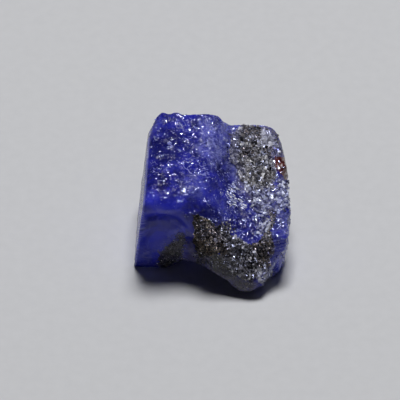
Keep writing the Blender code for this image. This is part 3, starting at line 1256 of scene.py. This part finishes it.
@dataclass(frozen=True)
class FloorFinish(Finish):
    """A plain pale sheet with a very faint grain."""

    tones: Stops = ((0.3, (0.60, 0.605, 0.625)), (0.7, (0.62, 0.625, 0.645)))

    def inputs(self, shading: Shading, place: Socket) -> dict[str, Value]:
        """The shader's inputs."""
        tone = shading.ramp(Noise(900.0, 4.0).on(shading, place), self.tones)
        return {"Base_Color": tone, "Roughness": 0.7, "Specular_IOR_Level": 0.0}


# The stone and its grains


@dataclass
class TanzaniteStone:
    """The whole stone as one closed surface, with its minerals in patches, in millimetres and degrees."""

    form: StoneForm = field(default_factory=StoneForm)
    cells: int = 128
    fine_breaks: tuple[Break, ...] = (Break(0.78, 0.17, 13, 0.9, 0.7), Break(0.40, 0.18, 21, 1.0, 0.6))
    grain_break: Break = Break(0.34, 0.30, 27, 0.9, 1.0)
    grain_rise: float = 0.02
    inset: float = 0.05
    hackle_mean: float = 0.75
    hackle_swing: float = 0.35
    hackle_wave: float = 2.2
    hackle_seed: float = 50
    calming: float = 0.8
    least_hackle: float = 0.1
    layer_width: float = 2.1
    layer_wander: float = 1.2
    layer_wave: float = 2.2
    layer_seed: float = 61
    layer_squeeze: Triple = (1, 0.6, 0.25)
    layer_depth: float = 0.035
    layer_inset: float = 0.03
    cleaved_band: tuple[float, float] = (-0.12, -0.06)
    cleaved_calm: float = 0.93
    edge_highlight_band: tuple[float, float] = (0.14, 0.07)
    sharp_angle: float = 38
    points: np.ndarray = field(init=False, repr=False)
    normals: np.ndarray = field(init=False, repr=False)
    kinds: np.ndarray = field(init=False, repr=False)
    piece: bpy.types.Object = field(init=False, repr=False)

    def hackle(self, points: np.ndarray) -> np.ndarray:
        """How broken the surface is at each point: 1 where it is hackly, less where it is smooth glass.

        Args:
            points: The points, in metres from the heart.

        Returns:
            The share for each point.
        """
        swing = layered_noise(points, self.hackle_wave * MM, self.hackle_seed)
        patchy = self.hackle_mean + self.hackle_swing * swing
        return np.clip(patchy * (1 - self.calming * CALM.shown(points)), self.least_hackle, 1)

    def laminae(self, points: np.ndarray) -> np.ndarray:
        """Thin layers broken off the cleavage: a saw across its width with long wandering edges.

        Args:
            points: The points, in metres from the heart.

        Returns:
            How far the layers stand back from the cleavage at each point, in metres.
        """
        noise = layered_noise(points * self.layer_squeeze, self.layer_wave * MM, self.layer_seed)
        wander = noise * self.layer_wander * MM
        tooth = np.mod((points[:, 1] + wander) / (self.layer_width * MM), 1)
        return self.layer_depth * MM * (tooth - eased(tooth, 0.9, 1.0)) + self.layer_inset * MM

    def edge_highlight_and_lips(self, hackle: np.ndarray) -> np.ndarray:
        """How pale each point is: a painted highlight in a bell curve across the cleavage's edge, or a little
        on the lips.

        Args:
            hackle: How broken the surface is at each point.

        Returns:
            The paleness, from 0 to 1.
        """
        behind, width = self.edge_highlight_band
        edge = (self.form.cleavage.beyond(self.points) + behind * MM) / (width * MM)
        lips = self.form.ledge_lips(self.points) * (0.2 + 0.3 * hackle)
        return np.maximum(np.exp(-edge * edge) * 0.8, lips)

    def build(self) -> None:
        """Makes the surface and stores what the finishes read."""
        rays, faces = cube_sphere(self.cells)
        rough = self.form.surface(rays)
        normals = point_normals(rough, faces)
        self.kinds = minerals_at(rough)
        hackle = self.hackle(rough)
        blue = np.isin(self.kinds, (Mineral.TANZANITE, Mineral.GARNET))
        chips = sum(layer.height(rough) for layer in self.fine_breaks) * hackle
        grains = self.grain_rise * MM - self.grain_break.height(rough)
        relief = np.where(blue, chips, grains) - self.inset * MM
        moved = rough + normals * relief[:, None]
        cut = self.form.cut_flat(moved, self.laminae(moved))
        self.points = np.clip(cut, *(np.array(corner) - HEART for corner in CAD_BOX))
        self.normals = point_normals(self.points, faces)
        start, end = self.cleaved_band
        cleaved = eased(self.form.cleavage.beyond(self.points), start * MM, end * MM)
        self.piece = mesh_object("tanzanite_stone", self.points + HEART, faces, smooth=True)
        store(self.piece, "hackle", hackle * (1 - self.cleaved_calm * cleaved))
        store(self.piece, "cleaved", cleaved)
        store(self.piece, "edge_highlight_and_lips", self.edge_highlight_and_lips(hackle))
        for name, cloud in CLOUDS.items():
            store(self.piece, name, cloud.shown(self.points))
        kinds = minerals_at(self.points[faces].mean(axis=1))
        self.piece.data.polygons.foreach_set("material_index", kinds.astype(np.int32))
        self.piece.data.set_sharp_from_angle(angle=math.radians(self.sharp_angle))
        LOG.info("stone: %d points, %d squares", len(self.points), len(faces))

    def dress(self, finishes: dict[Mineral, bpy.types.Material]) -> None:
        """Puts the materials in their slots and stands the piece for the model's own node.

        Args:
            finishes: The material of each mineral.
        """
        for mineral in Mineral:
            self.piece.data.materials.append(finishes[mineral])
        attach(self.piece, BODY)
        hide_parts(NODE)


class GrainShape(Enum):
    """The outline of a grain before it is stretched and knocked about: its corners and its triangles."""

    BLOCK = "block"
    PLATE = "plate"
    SHARD = "shard"

    def corners(self) -> np.ndarray:
        """The corners of the grain, within a unit or so of its middle.

        Returns:
            The corners, in rows of three.
        """
        if self is GrainShape.BLOCK:
            return np.array(list(np.ndindex(2, 2, 2))) * 1.6 - 0.8
        sides = 6 if self is GrainShape.PLATE else 4
        turn = np.arange(sides) * 2 * np.pi / sides
        ring = np.stack((np.cos(turn), np.sin(turn), np.zeros(sides)), axis=1)
        if self is GrainShape.PLATE:
            return np.concatenate((ring + (0, 0, -1), ring * 0.86 + (0, 0, 1)))
        return np.concatenate((ring, ((0, 0, -1.2), (0, 0, 1.2))))

    def triangles(self) -> np.ndarray:
        """The corner numbers of each triangle, turning outwards.

        Returns:
            The corner numbers, in rows of three.
        """
        if self is GrainShape.BLOCK:
            squares = ((0, 1, 3, 2), (4, 6, 7, 5), (0, 4, 5, 1), (2, 3, 7, 6), (0, 2, 6, 4), (1, 5, 7, 3))
            return np.array([tri for a, b, c, d in squares for tri in ((a, b, c), (a, c, d))])
        if self is GrainShape.PLATE:
            fans = [(0, n + 1, n) for n in range(1, 5)] + [(6, 6 + n, 7 + n) for n in range(1, 5)]
            walls = [(n, (n + 1) % 6, 6 + (n + 1) % 6) for n in range(6)]
            walls += [(n, 6 + (n + 1) % 6, 6 + n) for n in range(6)]
            return np.array(fans + walls)
        upper = [(n, (n + 1) % 4, 5) for n in range(4)]
        lower = [((n + 1) % 4, n, 4) for n in range(4)]
        return np.array(upper + lower)


@dataclass
class GrainBed:
    """Many small grains of one kind, seated on the stone where their mineral shows, as one joined mesh.

    Sizes are half-lengths in millimetres. The shares are what each grain's length, width and height are of
    its size. A grain keeps clear of the box and of the cleavage by a share of the largest size.
    """

    name: str
    shape: GrainShape
    count: int
    places: tuple[Place, ...]
    sizes: tuple[float, float]
    tones: Stops
    finish: bpy.types.Material
    slot: str
    seed: int
    among: tuple[Mineral, ...] = ()
    shares: Triple = (1, 0.8, 0.7)
    sink: float = 0.3
    lean: float = 0.5
    knock: float = 0.25
    clearance: float = 0.7
    along_lean: float = 0.3
    stretches: tuple[float, float] = (0.7, 1.3)
    shades: tuple[float, float] = (0.75, 1.25)
    grain_normal: Triple | None = None
    grain_along: Triple | None = None

    def seats(self, stone: TanzaniteStone, random: np.random.Generator) -> np.ndarray:
        """Draws the stone's points that carry a grain, by how strongly the places show there.

        Args:
            stone: The stone that carries the grains.
            random: Where the draws come from.

        Returns:
            The number of a point of the stone for each grain.
        """
        weight = Cloud(self.seed, self.places).shown(stone.points)
        if self.among:
            weight = weight * np.isin(stone.kinds, self.among)
        low, high = (np.array(corner) - HEART for corner in CAD_BOX)
        margin = self.sizes[1] * MM * self.clearance
        clear = ((stone.points > low + margin) & (stone.points < high - margin)).all(axis=1)
        clear &= stone.form.cleavage.beyond(stone.points) < -margin
        weight = weight * clear
        return random.choice(len(stone.points), self.count, p=weight / weight.sum())

    def turns(self, normals: np.ndarray, random: np.random.Generator) -> np.ndarray:
        """A turn for each grain: its third axis leans from the stone's normal, and its first is random.

        Args:
            normals: The stone's normal under each grain.
            random: Where the draws come from.

        Returns:
            A matrix for each grain, with its three axes as columns.
        """
        up = normals + random.normal(0, self.lean, normals.shape)
        if self.grain_normal is not None:
            up = np.array(self.grain_normal) + random.normal(0, self.lean, normals.shape)
        up /= np.linalg.norm(up, axis=1, keepdims=True)
        side = np.cross(up, random.normal(0, 1, normals.shape))
        if self.grain_along is not None:
            along = np.array(self.grain_along) + random.normal(0, self.along_lean, normals.shape)
            side = along - up * (along * up).sum(axis=1, keepdims=True)
        side /= np.linalg.norm(side, axis=1, keepdims=True)
        return np.stack((side, np.cross(up, side), up), axis=2)

    def solids(
        self, stone: TanzaniteStone, seats: np.ndarray, random: np.random.Generator
    ) -> tuple[np.ndarray, np.ndarray]:
        """The corners of all the grains, in metres, and their triangles.

        Args:
            stone: The stone that carries the grains.
            seats: The numbers of the points that they sit on.
            random: Where the draws come from.

        Returns:
            The corners, and the corner numbers of each triangle.
        """
        corners = self.shape.corners()
        knocked = corners + random.uniform(-self.knock, self.knock, (self.count, *corners.shape))
        low, high = self.sizes
        length = low + (high - low) * random.random(self.count) ** 2
        spread = random.uniform(*self.stretches, (self.count, 3))
        stretch = length[:, None] * np.array(self.shares) * spread * MM
        turns = self.turns(stone.normals[seats], random)
        shaped = np.einsum("gij,gkj->gki", turns, knocked * stretch[:, None, :])
        depth = (0.5 - self.sink) * stretch[:, 2]
        middles = stone.points[seats] + stone.normals[seats] * depth[:, None] + HEART
        points = (shaped + middles[:, None, :]).reshape(-1, 3)
        faces = self.shape.triangles()[None] + np.arange(self.count)[:, None, None] * len(corners)
        return np.clip(points, *(np.array(corner) for corner in CAD_BOX)), faces.reshape(-1, 3)

    def shaded(self, stone: TanzaniteStone, seats: np.ndarray, random: np.random.Generator) -> np.ndarray:
        """The colour of each grain: one of the tones, lighter or darker, with the veils' haze on rock.

        Args:
            stone: The stone that carries the grains.
            seats: The numbers of the points that they sit on.
            random: Where the draws come from.

        Returns:
            Red, green, blue and 1 for each grain.
        """
        marks, tones = (np.array(part) for part in zip(*self.tones))
        pick = np.minimum(np.searchsorted(marks, random.random(self.count)), len(tones) - 1)
        shade = tones[pick] * random.uniform(*self.shades, (self.count, 1))
        if Mineral.ROCK in self.among:
            haze = CLOUDS["veil"].shown(stone.points[seats])[:, None] * HAZE_SHARE
            shade = shade * (1 - haze) + np.array(HAZE) * haze
        return np.concatenate((shade, np.ones((self.count, 1))), axis=1)

    def build(self, stone: TanzaniteStone) -> None:
        """Makes the joined grains, their tones, and their place on the stone.

        Args:
            stone: The stone that carries the grains.
        """
        random = np.random.default_rng(self.seed)
        seats = self.seats(stone, random)
        points, faces = self.solids(stone, seats, random)
        piece = mesh_object(self.name, points, faces, smooth=False)
        colours = self.shaded(stone, seats, random)
        store(piece, "tone", np.repeat(colours, len(points) // self.count, axis=0))
        piece.data.materials.append(self.finish)
        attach(piece, BODY)
        LOG.info("%s: %d grains, %d triangles", self.name, self.count, len(faces))


# The studio


@dataclass
class Studio:
    """A pale floor, soft lights above and behind, and the camera at the photograph's angle.

    Lengths are in millimetres. A lamp is its azimuth and elevation in degrees, its side and its watts.
    """

    distance: float = 500.0
    width: float = 40.0
    sensor: float = 36.0
    aim: tuple[float, float] = (-1.3, 0.25)
    floor_side: float = 900.0
    light_distance: float = 600.0
    sky_panel: tuple[float, float, float, float] = (165, 81, 190, 3.25)
    glint_lamps: tuple[tuple[float, float, float, float], ...] = (
        (88, 50, 46, 2.6),
        (-80, 56, 46, 1.5),
        (0, 82, 46, 3.4),
        (180, 30, 46, 1.4),
        (35, 50, 46, 1.7),
    )
    glint_tint: Triple = (0.62, 0.67, 1.0)
    air: Colour = (0.86, 0.9, 1.0, 1)
    air_strength: float = 0.009

    def camera(self) -> None:
        """Stands the camera so that the frame is `width` millimetres wide at the heart's depth."""
        data = bpy.data.cameras.new("photograph_angle")
        data.sensor_width = self.sensor
        data.lens = self.sensor * self.distance / self.width
        data.clip_start = 0.01
        camera = bpy.data.objects.new("photograph_angle", data)
        right, up = self.aim
        aim_point = Vector(HEART) + Vector((right * MM, 0, 0)) + Vector(SEEN_UP) * up * MM
        camera.location = aim_point + Vector(SEEN_NEAR) * self.distance * MM
        camera.rotation_euler = Euler((math.pi / 2 - SEEN_RISE, 0, 0))
        bpy.context.scene.collection.objects.link(camera)
        bpy.context.scene.camera = camera

    def light(
        self, name: str, azimuth: float, elevation: float, side: float, watts: float
    ) -> bpy.types.Object:
        """A square soft light that looks at the heart.

        Args:
            name: The lamp's name.
            azimuth: Where it stands, in degrees round the stone.
            elevation: Its height, in degrees above the horizon.
            side: The length of its side, in millimetres.
            watts: Its power.

        Returns:
            The lamp, in the scene.
        """
        data = bpy.data.lights.new(name, "AREA")
        data.size = side * MM
        data.energy = watts
        lamp = bpy.data.objects.new(name, data)
        way = Vector(facing(azimuth, elevation))
        lamp.location = Vector(HEART) + way * self.light_distance * MM
        lamp.rotation_euler = way.to_track_quat("Z", "Y").to_euler()
        bpy.context.scene.collection.objects.link(lamp)
        return lamp

    def floor(self) -> None:
        """A plain pale floor."""
        half = self.floor_side * MM / 2
        corners = np.array(((-half, -half, 0), (half, -half, 0), (half, half, 0), (-half, half, 0)))
        floor = mesh_object("pale_floor", corners, np.array(((0, 1, 2, 3),)), smooth=False)
        floor.data.materials.append(FloorFinish("Pale floor").material())

    def build(self) -> None:
        """Makes the floor, the lights, the surroundings and the camera."""
        self.floor()
        self.camera()
        self.light("sky_panel", *self.sky_panel).visible_glossy = False
        for number, placing in enumerate(self.glint_lamps):
            lamp = self.light(f"glint_lamp_{number}", *placing)
            lamp.data.color = self.glint_tint
            lamp.visible_diffuse = False
            lamp.visible_transmission = False
        world = bpy.data.worlds.new("studio_air")
        world.use_nodes = True
        air = Shading(world.node_tree)
        air.feed(air.tree.nodes["Background"], Color=self.air, Strength=self.air_strength)
        bpy.context.scene.world = world
        bpy.context.scene.view_settings.view_transform = "Standard"


def stone_finishes(facets: bpy.types.NodeTree) -> dict[Mineral, bpy.types.Material]:
    """The material of each mineral on the stone's surface.

    Args:
        facets: The group of small flat breaks.

    Returns:
        The material for each mineral.
    """
    rock = ((0.0, (0.014, 0.013, 0.014)), (0.3, (0.06, 0.055, 0.058)), (0.5, (0.24, 0.23, 0.24)),
            (0.75, (0.50, 0.49, 0.52)))
    black = ((0.0, (0.006, 0.006, 0.006)), (0.5, (0.03, 0.026, 0.024)), (0.72, (0.16, 0.13, 0.10)))
    pale = ((0.0, (0.10, 0.10, 0.14)), (0.4, (0.30, 0.30, 0.36)), (0.7, (0.55, 0.55, 0.62)))
    finishes = {
        Mineral.TANZANITE: TanzaniteFinish("Blue tanzanite", facets, crush_and_glint_flecks()),
        Mineral.ROCK: SpeckledFinish("Grey rock", facets, rock),
        Mineral.GRAPHITE: SpeckledFinish("Graphite", facets, black, 0.45, 0.16, (0.2, 0.5)),
        Mineral.CALCITE: SpeckledFinish("Calcite", facets, pale, 0.0, 0.35, (0.12, 0.4)),
        Mineral.GARNET: GarnetFinish("Red-brown garnet", facets),
    }
    return {mineral: finish.material() for mineral, finish in finishes.items()}


def grain_beds() -> list[GrainBed]:
    """The grains that stand on the stone, kind by kind.

    Returns:
        The beds, in the order that they are built.
    """
    mineral = GrainFinish("Mineral grains", 0.0, (0.12, 0.4)).material()
    flake = GrainFinish("Metallic flakes", 1.0, (0.18, 0.45)).material()
    block, plate, shard = GrainShape
    on_rock, on_blue, on_dark = (Mineral.ROCK,), (Mineral.TANZANITE,), (Mineral.ROCK, Mineral.GRAPHITE)
    upper = (ROCK_TOP,)
    lower = (ROCK_FRONT, ROCK_FOOT, *ROCK_BEHIND, WHITE_BEHIND)
    rocky = upper + lower
    sooty = (DARK_FLANK, SOOTY_SCOOP, FOOT_RIM)
    black = PATCHES[Mineral.GRAPHITE]
    golden = (GOLDEN_FRONT, replace(BLACK_RIGHT, strength=0.3))
    white = (WHITE_RIGHT, WHITE_SPOT, replace(LOW_CHUNK, strength=0.5))
    chipped = (
        Blob((-4.5, 2.5, 6.0), (3.2, 4.0, 1.6)),
        Blob((-3.5, -1.5, 5.0), (3.4, 2.2, 1.6)),
        Blob((0.5, 1.0, 5.0), (2.2, 4.5, 2.6)),
        Blob((2.5, -4.0, 1.4), (3.0, 2.4, 2.2)),
        Blob((6.8, -3.5, -1.0), (1.2, 3.5, 3.5)),
    )
    greys = ((0.3, (0.02, 0.018, 0.02)), (0.55, (0.12, 0.11, 0.115)), (0.9, (0.34, 0.33, 0.345)),
             (1.0, (0.85, 0.84, 0.86)))
    # Darker copies of the greys for the lower rock and the bottom rim: painted shade.
    shaded_greys = ((0.4, (0.018, 0.016, 0.018)), (0.7, (0.09, 0.085, 0.10)), (0.94, (0.29, 0.28, 0.33)),
               (1.0, (0.80, 0.78, 0.84)))
    blacks = ((0.55, (0.008, 0.007, 0.007)), (0.85, (0.03, 0.027, 0.026)), (1.0, (0.15, 0.135, 0.125)))
    bronzes = ((0.5, (0.05, 0.036, 0.024)), (0.8, (0.21, 0.155, 0.10)), (1.0, (0.70, 0.58, 0.44)))
    golds = ((0.6, (0.12, 0.095, 0.065)), (0.85, (0.42, 0.35, 0.25)), (1.0, (0.90, 0.80, 0.64)))
    whites = ((0.35, (0.08, 0.08, 0.19)), (0.75, (0.34, 0.355, 0.58)), (1.0, (0.70, 0.73, 0.90)))
    # Blue to near-white; the palest stand in for the glint of the aligned cleavage plates: painted glint.
    silver_and_glint_tones = ((0.35, (0.16, 0.18, 0.56)), (0.7, (0.50, 0.53, 0.84)), (1.0, (0.93, 0.95, 1.0)))
    blues = ((0.5, (0.02, 0.022, 0.30)), (0.8, (0.13, 0.135, 0.55)), (1.0, (0.45, 0.47, 0.90)))
    return [
        GrainBed("rock_grains", block, 2600, upper, (0.05, 0.22), greys, mineral, "calcite", 101, on_rock),
        # Lower rock grains in the darker greys: painted shade.
        GrainBed("dusky_grains", block, 5600, lower, (0.03, 0.14), shaded_greys, mineral, "calcite", 107, on_rock),
        GrainBed("sooty_dust", block, 1500, sooty, (0.02, 0.07), shaded_greys, mineral, "graphite", 109, on_blue,
                 (1, 0.8, 0.6)),
        GrainBed("stray_grains", block, 420, rocky, (0.04, 0.12), greys, mineral, "calcite", 108, on_blue),
        GrainBed("graphite_flakes", plate, 3500, rocky + black, (0.06, 0.18), blacks, flake, "graphite", 102,
                 on_dark, (1, 0.8, 0.2), lean=0.8),
        GrainBed("bronze_glints", plate, 1300, black, (0.03, 0.09), bronzes, flake, "graphite", 103, on_dark,
                 (1, 0.8, 0.3), lean=0.8),
        GrainBed("golden_specks", block, 300, golden, (0.02, 0.07), golds, mineral, "graphite", 110, on_dark,
                 lean=0.8),
        GrainBed("calcite_blocks", block, 880, white, (0.05, 0.25), whites, mineral, "calcite", 104, (),
                 (1, 0.75, 0.5), lean=0.6),
        # Cleavage plates whose palest tones are painted glint.
        GrainBed("silver_cleavage", plate, 200, SILVER, (0.04, 0.14), silver_and_glint_tones, mineral, "tanzanite", 105, (),
                 (2.2, 0.45, 0.2), lean=0.2, grain_normal=(0.1, -0.5, 0.9), grain_along=(1.0, -0.45, -0.4)),
        GrainBed("blue_chips", shard, 600, chipped, (0.04, 0.14), blues, mineral, "tanzanite", 106, on_blue,
                 (1.3, 0.7, 0.5), lean=0.8),
    ]


def main() -> None:
    """Builds the stone, its grains and the studio."""
    logging.basicConfig(level=logging.INFO, format="%(name)s %(message)s")
    Studio().build()
    facets = chipped_facets()
    stone = TanzaniteStone()
    stone.build()
    stone.dress(stone_finishes(facets))
    for bed in grain_beds():
        bed.build(stone)


if __name__ == "__main__":
    main()
